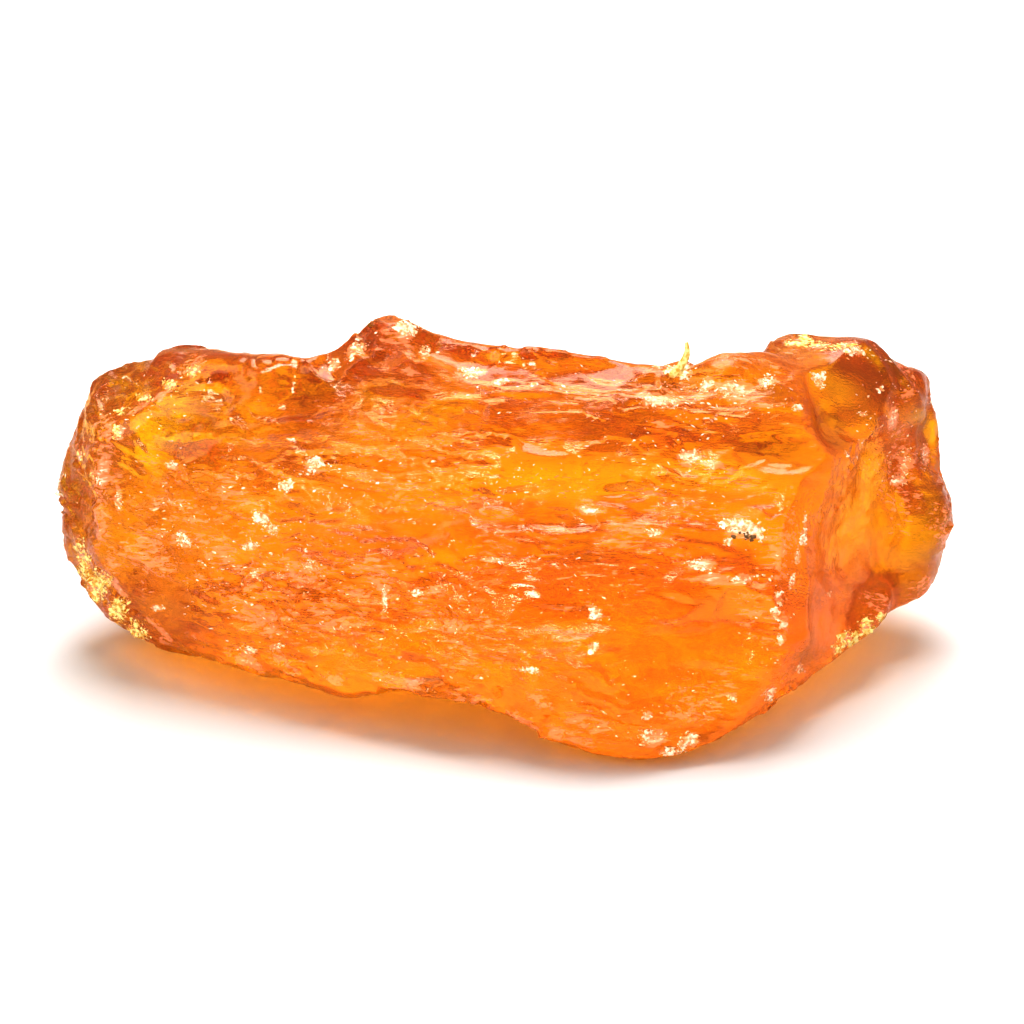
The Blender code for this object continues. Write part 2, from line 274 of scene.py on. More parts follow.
# Scars of small shell-shaped flakes: image point, half length, half width, tilt and depth. Where
# two meet, a sharp rib is left between them.
SCARS = (
    (830, 426, 1.5, 2.4, 0, 0.40),
    (848, 420, 1.2, 2.0, 20, 0.30),
    (780, 452, 3.2, 1.5, 0, 0.45),
    (926, 452, 1.0, 2.6, 0, 0.20),
    (905, 505, 2.2, 2.4, 0, 0.20),
    (878, 366, 3.2, 0.9, 62, 0.34),
    (900, 374, 3.4, 0.9, 60, 0.34),
    (920, 396, 2.8, 0.9, 66, 0.30),
    (862, 430, 2.2, 0.9, -68, 0.26),
    (786, 378, 2.2, 0.9, 0, 0.25),
    (740, 388, 2.6, 0.9, 5, 0.30),
    (700, 388, 2.6, 1.0, 5, 0.35),
    (650, 386, 2.8, 1.0, 8, 0.35),
    (615, 372, 3.4, 1.2, 8, 0.28),
    (545, 366, 3.8, 1.4, 8, 0.28),
    (455, 352, 3.2, 1.5, 14, 0.35),
    (386, 345, 1.7, 1.7, 0, 0.40),
    (362, 342, 1.0, 0.8, -40, 0.35),
    (346, 354, 1.0, 0.8, -40, 0.35),
    (331, 367, 1.1, 0.8, -30, 0.35),
    (218, 388, 1.9, 2.3, 0, 0.18),
    (158, 470, 2.4, 1.2, 5, 0.30),
    (150, 545, 2.2, 1.2, 12, 0.35),
    (84, 505, 1.2, 3.2, 0, 0.30),
    (100, 590, 1.6, 2.6, 0, 0.40),
    (112, 400, 2.2, 1.5, -40, 0.40),
    (240, 556, 2.4, 1.0, -15, 0.30),
    (296, 572, 3.4, 1.2, 12, 0.40),
    (372, 586, 2.0, 1.4, 15, 0.35),
    (430, 612, 3.0, 1.1, 8, 0.30),
    (330, 640, 3.4, 1.2, 5, 0.35),
    (245, 618, 2.8, 1.0, 14, 0.30),
    (395, 405, 2.8, 1.2, -10, 0.30),
    (440, 425, 3.4, 1.4, -18, 0.35),
    (545, 440, 2.6, 1.1, 10, 0.30),
    (640, 500, 3.4, 1.0, 12, 0.30),
    (690, 460, 2.0, 1.2, 0, 0.35),
    (560, 520, 2.6, 0.9, 5, 0.30),
    (470, 500, 2.8, 0.9, 0, 0.30),
    (700, 560, 2.8, 1.0, 0, 0.30),
    (560, 620, 3.2, 1.2, 6, 0.25),
    (655, 605, 3.0, 1.0, 4, 0.25),
    (765, 560, 1.6, 3.0, 0, 0.35),
    (735, 630, 1.6, 3.4, 0, 0.35),
    (500, 668, 2.6, 1.2, 20, 0.30),
    (590, 716, 2.4, 1.4, 28, 0.35),
    (420, 672, 3.0, 1.2, 10, 0.30),
)
# Flat breaks: image point, the way the break faces, how far in from the skin it lies, and its radius.
CUTS = (
    (798, 560, (0.60, -0.72, 0.33), 0.65, 8.0),
    (848, 384, (0.52, -0.62, 0.58), 0.30, 5.0),
    (352, 352, (-0.55, -0.50, 0.66), 0.25, 3.2),
    (372, 340, (-0.60, -0.55, 0.58), 0.25, 1.6),
)
# Places that stand proud, or low: image point, half length, half width, tilt and height.
SWELLS = (
    (748, 361, 3.8, 2.7, -15, 0.6),
    (716, 374, 3.2, 3.0, -10, 0.85),
    (864, 359, 4.2, 3.6, 25, 1.1),
    (912, 386, 3.2, 3.4, 45, 1.15),
    (922, 536, 5.0, 5.8, 0, 1.65),
    (160, 364, 3.5, 3.0, -15, 0.55),
    (243, 368, 4.3, 5.4, 0, 1.0),
    (335, 360, 2.7, 3.2, 0, 0.35),
    (372, 335, 3.0, 2.7, 0, 0.5),
    (428, 340, 2.2, 2.2, 0, -0.5),
    (104, 600, 3.0, 3.2, 40, 0.6),
    (70, 510, 1.6, 3.2, 0, 0.3),
)
LOOSE_SCARS = 90  # more of them, at random on the sides that the camera doesn't see
LOOSE_PATCHES = 60  # likewise
LOOSE_LOW = 2.0  # millimetres above the table where these start
TURNED_AWAY = -0.1  # cosine from the camera past which a face counts as hidden
RIPPLE_PITCH, RIPPLE_HEIGHT = 0.75, 0.015
# The solid's splinter is cut down to a stub here: the crown's crust has its own.
SPLINTER_FOOT = (12.0, 2.6, 21.1)
SPLINTER_REACH = 2.6
SPLINTER_STUB = 0.15
STUB_ROUNDS = 6
CUT_LIFT = 12.0  # how fast a flat break curls up at its rim,
CUT_FLAT, CUT_END = 0.6, 1.5  # and from and to what share of its radius

# Weathered patches, partly painted sheen: image point, half length and half width in millimetres,
# how many degrees the length drops to the right, and how white the patch is.
FROST_AND_SHEEN_PATCHES = (
    (150, 463, 1.8, 0.5, 5, 0.35),
    (228, 478, 1.7, 0.6, 8, 0.35),
    (150, 543, 1.8, 1.1, 15, 0.50),
    (222, 553, 2.2, 1.2, -20, 0.40),
    (296, 572, 3.2, 1.2, 12, 0.45),
    (372, 575, 2.2, 1.6, 15, 0.45),
    (245, 604, 2.4, 0.7, 12, 0.40),
    (320, 626, 2.8, 1.0, 0, 0.40),
    (200, 640, 2.5, 0.7, 14, 0.40),
    (290, 665, 3.4, 0.9, 10, 0.45),
    (390, 682, 3.2, 0.8, 6, 0.45),
    (108, 440, 0.7, 2.4, 0, 0.45),
    (100, 500, 0.7, 2.2, 0, 0.45),
    (112, 575, 0.8, 2.0, 0, 0.50),
    (195, 368, 1.4, 0.7, -30, 0.45),
    (325, 408, 1.4, 0.5, 10, 0.35),
    (480, 350, 3.6, 0.7, 8, 0.22),
    (575, 365, 3.6, 0.7, 8, 0.25),
    (662, 424, 1.9, 0.5, 3, 0.35),
    (555, 440, 1.8, 0.7, 15, 0.35),
    (394, 503, 1.7, 0.9, 0, 0.40),
    (470, 494, 1.7, 0.5, 0, 0.45),
    (650, 490, 1.8, 0.7, 15, 0.45),
    (556, 527, 1.4, 0.5, 0, 0.40),
    (591, 511, 1.0, 0.35, 10, 0.80),
    (640, 528, 2.1, 0.8, 15, 0.45),
    (430, 592, 2.4, 0.6, 0, 0.50),
    (495, 628, 2.8, 0.9, 0, 0.35),
    (561, 608, 1.1, 0.45, 5, 0.45),
    (660, 622, 3.6, 0.6, 3, 0.22),
    (590, 728, 2.4, 1.6, 30, 0.40),
    (540, 700, 1.8, 0.9, 30, 0.40),
    (735, 366, 3.2, 0.7, -10, 0.35),
    (785, 372, 1.9, 0.6, 5, 0.35),
    (770, 381, 1.1, 0.6, 0, 0.60),
    (690, 458, 1.0, 0.6, 0, 0.60),
    (712, 465, 1.0, 0.5, 0, 0.60),
    (688, 556, 1.2, 0.6, 0, 0.45),
    (720, 580, 2.8, 0.5, 5, 0.50),
    (792, 530, 1.0, 3.2, 0, 0.40),
    (768, 625, 0.9, 3.0, 0, 0.40),
    (905, 470, 1.1, 2.2, 0, 0.45),
    (925, 520, 1.0, 2.0, 0, 0.45),
    (915, 590, 2.6, 1.2, -30, 0.35),
    (900, 380, 0.8, 2.4, 0, 0.35),
    (300, 600, 12.0, 4.5, 10, 0.36),
    (200, 520, 8.0, 4.0, 8, 0.34),
    (460, 640, 9.0, 3.0, 8, 0.34),
    (560, 560, 10.0, 4.0, 8, 0.27),
    (430, 470, 10.0, 4.0, 5, 0.25),
    (650, 510, 8.0, 3.0, 8, 0.30),
    (780, 580, 1.8, 6.0, 0, 0.36),
    (900, 480, 2.0, 5.0, 0, 0.36),
    (100, 500, 1.2, 7.0, 0, 0.34),
    (700, 392, 8.0, 1.6, 5, 0.32),
    (700, 700, 5.0, 2.4, -30, 0.36),
    (784, 556, 4.2, 1.0, 105, 0.52),
    (754, 602, 3.5, 1.4, 100, 0.44),
    (175, 648, 3.0, 0.7, 14, 0.52),
    (250, 664, 3.0, 0.7, 10, 0.52),
    (330, 676, 3.0, 0.7, 6, 0.52),
    (405, 684, 2.6, 0.6, 4, 0.50),
    (470, 698, 2.4, 0.8, 15, 0.50),
    (520, 722, 2.0, 0.9, 28, 0.50),
    (570, 738, 2.2, 0.8, 20, 0.50),
    (150, 402, 2.6, 0.5, -36, 0.60),
    (104, 465, 0.5, 2.2, 0, 0.60),
    (99, 520, 0.5, 2.4, 0, 0.60),
    (120, 590, 1.8, 0.5, 55, 0.60),
    (160, 630, 2.4, 0.5, 38, 0.60),
    (930, 530, 0.8, 3.4, 0, 0.50),
    (880, 602, 2.2, 1.5, -35, 0.45),
    (150, 560, 3.4, 1.6, 10, 0.42),
    (260, 620, 4.0, 1.4, 10, 0.42),
)

# Painted glow in yellow and painted shade in brown: image point, half length, half width, tilt, and
# the tone from -1, brown painted shade, to 1, yellow painted glow.
PAINTED_GLOW_AND_SHADE = (
    (190, 415, 5.0, 2.2, 5, 0.8),
    (150, 440, 2.6, 2.6, 0, 0.5),
    (380, 392, 1.6, 1.0, -20, 0.9),
    (425, 418, 3.4, 1.0, -25, 0.8),
    (455, 402, 2.4, 0.8, -20, 0.7),
    (500, 482, 5.0, 1.2, 0, 0.7),
    (600, 482, 4.6, 1.4, 0, 0.8),
    (700, 468, 3.4, 0.8, 5, 0.8),
    (793, 433, 1.4, 0.45, 5, 1.0),
    (720, 480, 3.0, 0.8, 0, 0.6),
    (430, 560, 3.0, 0.9, 10, 0.5),
    (365, 512, 3.0, 0.9, 0, 0.4),
    (690, 665, 6.0, 4.0, 0, 0.15),
    (380, 645, 8.0, 2.6, 5, -0.3),
    (860, 520, 4.0, 3.5, 0, 0.4),
    (782, 452, 3.4, 1.3, 5, -0.7),
    (848, 382, 2.2, 1.8, 0, -1.3),
    (830, 428, 1.8, 2.2, 0, -1.1),
    (880, 372, 1.6, 2.4, 0, -1.2),
    (915, 395, 1.2, 2.8, 0, -0.8),
    (880, 415, 1.6, 1.4, 0, -0.5),
    (925, 440, 0.9, 3.0, 0, -0.6),
    (810, 650, 1.8, 1.6, 0, -0.8),
    (880, 605, 4.0, 1.8, -35, 0.3),
    (700, 392, 5.0, 1.1, 5, -0.6),
    (770, 395, 2.4, 1.0, 5, -0.5),
    (300, 385, 3.4, 1.4, 0, -0.5),
    (375, 335, 1.2, 2.0, 0, -0.6),
    (80, 490, 2.4, 7.0, 0, 1.0),
    (125, 382, 4.0, 2.4, -30, 0.8),
    (92, 590, 1.6, 3.2, 40, 0.8),
    (160, 590, 3.4, 1.6, 20, -0.2),
    (400, 540, 4.6, 1.4, 5, -0.3),
    (560, 560, 4.6, 1.4, 5, -0.25),
    (230, 590, 4.0, 1.2, 12, -0.3),
    (922, 548, 2.4, 3.6, 0, -0.9),
)


IMAGE_SIDE = 1024


def ray_through(u, v):
    """Direction from the camera through a point of the square image."""
    reach = CAMERA_SENSOR / CAMERA_LENS / IMAGE_SIDE
    ray = Vector(((u - IMAGE_SIDE / 2) * reach, (IMAGE_SIDE / 2 - v) * reach, -1.0)).normalized()
    ray.rotate(camera.rotation_euler)
    return ray


def seen_at(skin, u, v):
    """The point of the skin that shows at an image point, and the way it faces there."""
    place, facing, *_ = skin.ray_cast(camera.location, ray_through(u, v))
    return place, facing


def oval_reach(places, middle, along, across, tilt):
    """How far out each place is from the middle of an oval patch of the skin: 1 is its rim."""
    tilt = radians(tilt)
    ahead = np.array((cos(tilt), 0.0, -sin(tilt)))
    offset = places - np.array(middle)
    lengthwise = offset @ ahead
    crosswise = np.linalg.norm(offset - np.outer(lengthwise, ahead), axis=1)
    return np.sqrt((lengthwise / along) ** 2 + (crosswise / across) ** 2)


def covered(*patch):
    """How much each place is covered by an oval patch, from 1 in its middle to 0 outside."""
    return np.clip(1.6 - 1.2 * oval_reach(*patch), 0.0, 1.0)


# Fossil resin, broken and weathered: clear as glass in the windows, where the eye looks into an
# orange depth, and dull, flaky and salmon pale where the skin has oxidised, partly as painted sheen.
amber = bpy.data.materials.new("amber")
amber.use_nodes = True
tree = amber.node_tree
shader = tree.nodes["Principled BSDF"]
shader.inputs["IOR"].default_value = AMBER_IOR
where = add_node(tree, "ShaderNodeTexCoord").outputs["Object"]
frost_and_sheen = add_node(tree, "ShaderNodeAttribute", attribute_name="frost_and_sheen").outputs["Fac"]
tone_with_painted_light = add_node(tree, "ShaderNodeAttribute", attribute_name="tone_with_painted_light").outputs["Fac"]
satin = add_node(tree, "ShaderNodeAttribute", attribute_name="satin").outputs["Fac"]

# Flaky flow streaks, 1.5 mm long and 0.3 mm wide, break the weathered and painted-sheen patches up.
flow = add_node(tree, "ShaderNodeMapping", {"Vector": where},
                in_Rotation=(0.0, FLOW_SLANT, 0.0), in_Scale=FLAKE_STRETCH)
streaks = add_node(tree, "ShaderNodeTexNoise", {"Vector": flow.outputs[0]},
                   in_Scale=1.0 / FLAKE_WIDTH, in_Detail=3.0, in_Roughness=0.6)
grit = add_node(tree, "ShaderNodeTexNoise", {"Vector": flow.outputs[0]},
                in_Scale=1.0 / GRIT_SIZE, in_Detail=2.0)
flakes = add_node(tree, "ShaderNodeMix", {2: streaks.outputs["Fac"], 3: grit.outputs["Fac"]},
                  in_0=GRIT_SHARE)
crisp = add_node(tree, "ShaderNodeMapRange", {"Value": flakes.outputs[0]},
                 in_From_Min=FLAKE_CRISP[0], in_From_Max=FLAKE_CRISP[1])
broken = add_node(tree, "ShaderNodeMath", {0: crisp.outputs[0], 2: frost_and_sheen},
                  operation="MULTIPLY_ADD", in_1=FROST_REACH).outputs[0]
clear = add_node(tree, "ShaderNodeMapRange", {"Value": broken}, in_From_Min=FROST_EDGE,
                 in_From_Max=FROST_EDGE + FROST_BLEND, in_To_Min=1.0, in_To_Max=FROST_CLEAR)
tree.links.new(clear.outputs[0], shader.inputs["Transmission Weight"])

# Orange, with painted glow in yellow and painted shade in brown, then salmon frost and painted sheen, then
# cream.
yellow_tone_and_glow = add_node(tree, "ShaderNodeMix", {0: tone_with_painted_light}, data_type="RGBA",
                in_6=linear(AMBER_ORANGE), in_7=linear(YELLOW_TONE_AND_PAINTED_GLOW))
shade = add_node(tree, "ShaderNodeMath", {0: tone_with_painted_light}, operation="MULTIPLY", use_clamp=True, in_1=-1.0)
body = add_node(tree, "ShaderNodeMix", {0: shade.outputs[0], 6: yellow_tone_and_glow.outputs[2]},
                data_type="RGBA", in_7=linear(BROWN_TONE_AND_PAINTED_SHADE))
pale = add_node(tree, "ShaderNodeMapRange", {"Value": broken},
                in_From_Min=FROST_EDGE, in_From_Max=FROST_EDGE + FROST_TINT)
with_frost_and_sheen = add_node(tree, "ShaderNodeMix", {0: pale.outputs[0], 6: body.outputs[2]},
                   data_type="RGBA", in_7=linear(SALMON_FROST_AND_SHEEN))
crusted = add_node(tree, "ShaderNodeMapRange", {"Value": broken},
                   in_From_Min=CRUST_EDGE, in_From_Max=CRUST_EDGE + CRUST_BLEND)
colour = add_node(tree, "ShaderNodeMix", {0: crusted.outputs[0], 6: with_frost_and_sheen.outputs[2]},
                  data_type="RGBA", in_7=linear(FROST_CREAM))
tree.links.new(colour.outputs[2], shader.inputs["Base Color"])
gloss = add_node(tree, "ShaderNodeMapRange", {"Value": satin},
                 in_To_Min=CLEAR_ROUGHNESS, in_To_Max=WEATHERED_ROUGHNESS)
tree.links.new(gloss.outputs[0], shader.inputs["Roughness"])

# Fine scratches and flakes of the skin, 0.1 to 0.4 mm, deeper where it is weathered.
scratches = add_node(tree, "ShaderNodeMath", {0: streaks.outputs["Fac"], 1: grit.outputs["Fac"]},
                     operation="ADD")
bump = add_node(tree, "ShaderNodeBump", {"Height": scratches.outputs[0], "Strength": satin},
                in_Distance=BUMP_DEPTH)
tree.links.new(bump.outputs[0], shader.inputs["Normal"])
volume = add_node(tree, "ShaderNodeVolumeAbsorption", in_Color=linear(AMBER_TINT), in_Density=AMBER_DEPTH)
tree.links.new(volume.outputs[0], tree.nodes["Material Output"].inputs["Volume"])

lump_bm = bmesh.new()
lump_bm.from_mesh(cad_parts["raw_amber"].data)
bmesh.ops.remove_doubles(lump_bm, verts=lump_bm.verts, dist=WELD)
coarse = piece_from(lump_bm, "coarse lump", amber)
even = coarse.modifiers.new("even", "REMESH")
even.mode = "VOXEL"
even.voxel_size = LUMP_GRAIN
bpy.context.view_layer.update()
lump_bm = bmesh.new()
lump_bm.from_object(coarse, bpy.context.evaluated_depsgraph_get())
bpy.data.objects.remove(coarse)
for _ in range(SOFTEN_ROUNDS):
    bmesh.ops.smooth_vert(lump_bm, verts=lump_bm.verts, factor=0.5,
                          use_axis_x=True, use_axis_y=True, use_axis_z=True)
lump_bm.normal_update()
upper = [e for e in lump_bm.edges if any(f.normal.z > UNDERSIDE for f in e.link_faces)]
bmesh.ops.subdivide_edges(lump_bm, edges=upper, cuts=1, use_grid_fill=True, smooth=0.5)
bmesh.ops.triangulate(lump_bm, faces=lump_bm.faces)
lump_bm.normal_update()

skin = BVHTree.FromBMesh(lump_bm)
places = np.array([v.co for v in lump_bm.verts]) / MM
windows = np.zeros(len(places))
for u, v, along, across in WINDOWS:
    middle = seen_at(skin, u, v)[0] / MM
    windows = np.maximum(windows, covered(places, middle, along, across, WINDOW_TILT))
scars = [(seen_at(skin, u, v)[0] / MM, *oval) for u, v, *oval in SCARS]
draw = random.Random(5)
hidden = [f for f in lump_bm.faces
          if f.normal.dot(towards_camera) < TURNED_AWAY and f.calc_center_median().z > LOOSE_LOW * MM]
for _ in range(LOOSE_SCARS):
    spot = draw.choice(hidden).calc_center_median() / MM
    along, across = draw.uniform(1.4, 3.6), draw.uniform(1.0, 2.4)
    scars.append((spot, along, across, draw.uniform(-40.0, 40.0), draw.uniform(0.2, 0.5)))
dents = np.zeros(len(places))
for spot, along, across, tilt, depth in scars:
    reach = oval_reach(places, spot, along, across, tilt)
    ripple = RIPPLE_HEIGHT * np.sin(tau * reach * across / RIPPLE_PITCH) * (reach < 1.0)
    dents = np.minimum(dents, ripple - depth * np.clip(1.0 - reach**2, 0.0, 1.0))
for u, v, along, across, tilt, height in SWELLS:
    reach = oval_reach(places, seen_at(skin, u, v)[0] / MM, along, across, tilt)
    dents += height * np.clip(1.0 - reach**2, 0.0, 1.0) ** 2
# Frost and painted sheen in the listed patches, and frost at random on the hidden sides.
frost_and_sheen_cover = np.zeros(len(places))
for u, v, along, across, tilt, white in FROST_AND_SHEEN_PATCHES:
    frost_and_sheen_cover = np.maximum(frost_and_sheen_cover, white * covered(places, seen_at(skin, u, v)[0] / MM, along, across, tilt))
for _ in range(LOOSE_PATCHES):
    spot = draw.choice(hidden).calc_center_median() / MM
    oval = draw.uniform(1.5, 4.0), draw.uniform(0.5, 1.6), draw.uniform(-10.0, 30.0)
    frost_and_sheen_cover = np.maximum(frost_and_sheen_cover, draw.uniform(0.3, 0.55) * covered(places, spot, *oval))
# Painted glow and painted shade, patch by patch.
painted_glow_and_shade = np.zeros(len(places))
for u, v, along, across, tilt, tone_with_painted_light in PAINTED_GLOW_AND_SHADE:
    painted_glow_and_shade += tone_with_painted_light * covered(places, seen_at(skin, u, v)[0] / MM, along, across, tilt)


def over(place, size):
    """A place, counted in features of the given size each way."""
    return Vector([part / length for part, length in zip(place, size)])


noise.seed_set(SKIN_SEED)  # without it, noise_vector changes from run to run


def relief(place, normal):
    """How far the skin stands proud at a place, and how worn it is there, both for no window."""
    x, y, z = place
    front = max(BACK_RELIEF, min(1.0, FRONT_SHARE - FRONT_GAIN * normal.y))
    down = z + FLOW_SLANT * x
    sway = noise.noise_vector(over(place, SWAY_SIZE))
    flow = over((x, y, down), RIB_SIZE) + sway * RIB_SWAY
    ribs = noise.ridged_multi_fractal(flow, 0.9, OCTAVE_STEP, 3.0, 1.0, 2.0) - RIDGE_MEAN
    lines = over((x, y, down), STREAK_SIZE) + sway * STREAK_SWAY
    streak = noise.ridged_multi_fractal(lines, 1.0, OCTAVE_STEP, 2.0, 1.0, 2.0) - RIDGE_MEAN
    wander = LEDGE_WANDER * noise.noise(over(place, WANDER_SIZE))
    wander += LEDGE_WOBBLE * noise.noise(place / WOBBLE_SIZE)
    step = ((down + wander) / LEDGE_PITCH) % 1.0
    patchy = noise.noise(over((x + LEDGE_ELSEWHERE, y, z), LEDGE_PATCH)) + LEDGE_SHARE
    ledges = max(0.0, patchy) * (step - 0.5)
    fine = noise.fractal(place / FINE_SIZE, 1.0, OCTAVE_STEP, 2.0)
    height = front * (RIB_HEIGHT * ribs + STREAK_HEIGHT * streak + LEDGE_HEIGHT * ledges)
    worn = 0.5 + 0.5 * noise.fractal(over((x, y, down), WORN_SIZE), 0.8, OCTAVE_STEP, 3.0)
    return height + FINE_HEIGHT * fine, worn


frost_and_sheen_layer = lump_bm.verts.layers.float.new("frost_and_sheen")
satin_layer = lump_bm.verts.layers.float.new("satin")
tone_with_painted_light_layer = lump_bm.verts.layers.float.new("tone_with_painted_light")
low, high = Vector(cad_box[0]), Vector(cad_box[1])
moves = []
for vert, window, white, dent, tone_with_painted_light in zip(lump_bm.verts, windows, frost_and_sheen_cover, dents, painted_glow_and_shade):
    height, worn = relief(vert.co / MM, vert.normal)
    keep = 1.0 - WINDOW_CALM * window
    moves.append(vert.normal * (height * keep + dent) * MM)
    # The tone: painted glow and painted shade, with a random tint from streak to streak on top.
    vert[tone_with_painted_light_layer] = max(-1.0, min(1.0, tone_with_painted_light + MOTTLE * (worn - 0.5)))
    away = max(0.0, min(1.0, -AWAY_GAIN * vert.normal.dot(towards_camera)))
    dull = END_DULL * max(0.0, vert.normal.x)
    dull += keep * max(SATIN_LEAST, SATIN_LEAST + SATIN_WORN * worn)
    vert[satin_layer] = min(1.0, dull + SATIN_BACK * away)
    streaky = max(0.0, worn - 0.5) * STREAKY * (1.0 - window)
    vert[frost_and_sheen_layer] = max(white * (PATCH_LEAST + PATCH_WORN * worn), streaky)
for vert, move in zip(lump_bm.verts, moves):
    vert.co += move
skin = BVHTree.FromBMesh(lump_bm)
places = np.array([v.co for v in lump_bm.verts]) / MM
for u, v, facing, inset, radius in CUTS:
    out = np.array(Vector(facing).normalized())
    offset = places - np.array(seen_at(skin, u, v)[0]) / MM
    above = offset @ out
    aside = np.linalg.norm(offset - np.outer(above, out), axis=1) / radius
    proud = above + inset - CUT_LIFT * np.clip(aside - CUT_FLAT, 0.0, None) ** 2
    proud *= (proud > 0.0) & (aside < CUT_END) & (abs(above) < radius)
    places -= np.outer(proud, out)
stub = np.linalg.norm(places - np.array(SPLINTER_FOOT), axis=1) < SPLINTER_REACH
tall = stub & (places[:, 2] > SPLINTER_FOOT[2])
places[tall, 2] = SPLINTER_FOOT[2] + SPLINTER_STUB * (places[tall, 2] - SPLINTER_FOOT[2])
places = np.clip(places, np.array(low) / MM, np.array(high) / MM)
for vert, place in zip(lump_bm.verts, places):
    vert.co = Vector(place) * MM
for _ in range(STUB_ROUNDS):
    worn_down = [v for v, near in zip(lump_bm.verts, stub) if near]
    bmesh.ops.smooth_vert(lump_bm, verts=worn_down, factor=0.5,
                          use_axis_x=True, use_axis_y=True, use_axis_z=True)
lump_bm.normal_update()
skin = BVHTree.FromBMesh(lump_bm)
lump = piece_from(lump_bm, "lump", amber)
lump_side.objects.link(lump)
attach(lump, "root")
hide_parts("raw_amber")

# --- Crust --------------------------------------------------------------------------------------
# The pale weathering crust that is left on the lump: crumbs and plates of oxidised amber that grew
# on it, thick on the peak, the crown, the ridge and both heels. It holds by itself.
CRUST_WHITE = "FCEFD9"
CRUST_STRAW = "E3AC70"
STRAW_PALE = "FDF0B0"
STRAW_DEEP = "DDB24C"
STRAW_PIECES = ("crown_straw", "hem_crust", "heel_crust")
CRUST_ROUGHNESS = 0.6
CRUST_CLEAR = 0.15
CRUST_UNDER = 0.75  # how white the skin is under it
STAIN_SIZE, STAIN_RANGE = 0.2857 * MM, (0.42, 0.62)
CRUMB_RATE, CRUMB_SCALE = 3.0, 0.54  # on the counts and sizes of the table below
GRAIN_SIZE, GRAIN_FLAT = 0.75, 0.8
PLATE_SIZE, PLATE_FLAT, PLATE_SHARE = 1.9, 0.25, 0.3
CRUMB_PULL = 0.45  # how far a corner is pulled in or out
CRUST_LOBES, CRUST_SCATTER = 5, 0.28
RIM_SMALLER = 0.6  # crumbs at a patch's rim are smaller by this share
PIXEL = 1.0 / 14.5  # millimetres a pixel

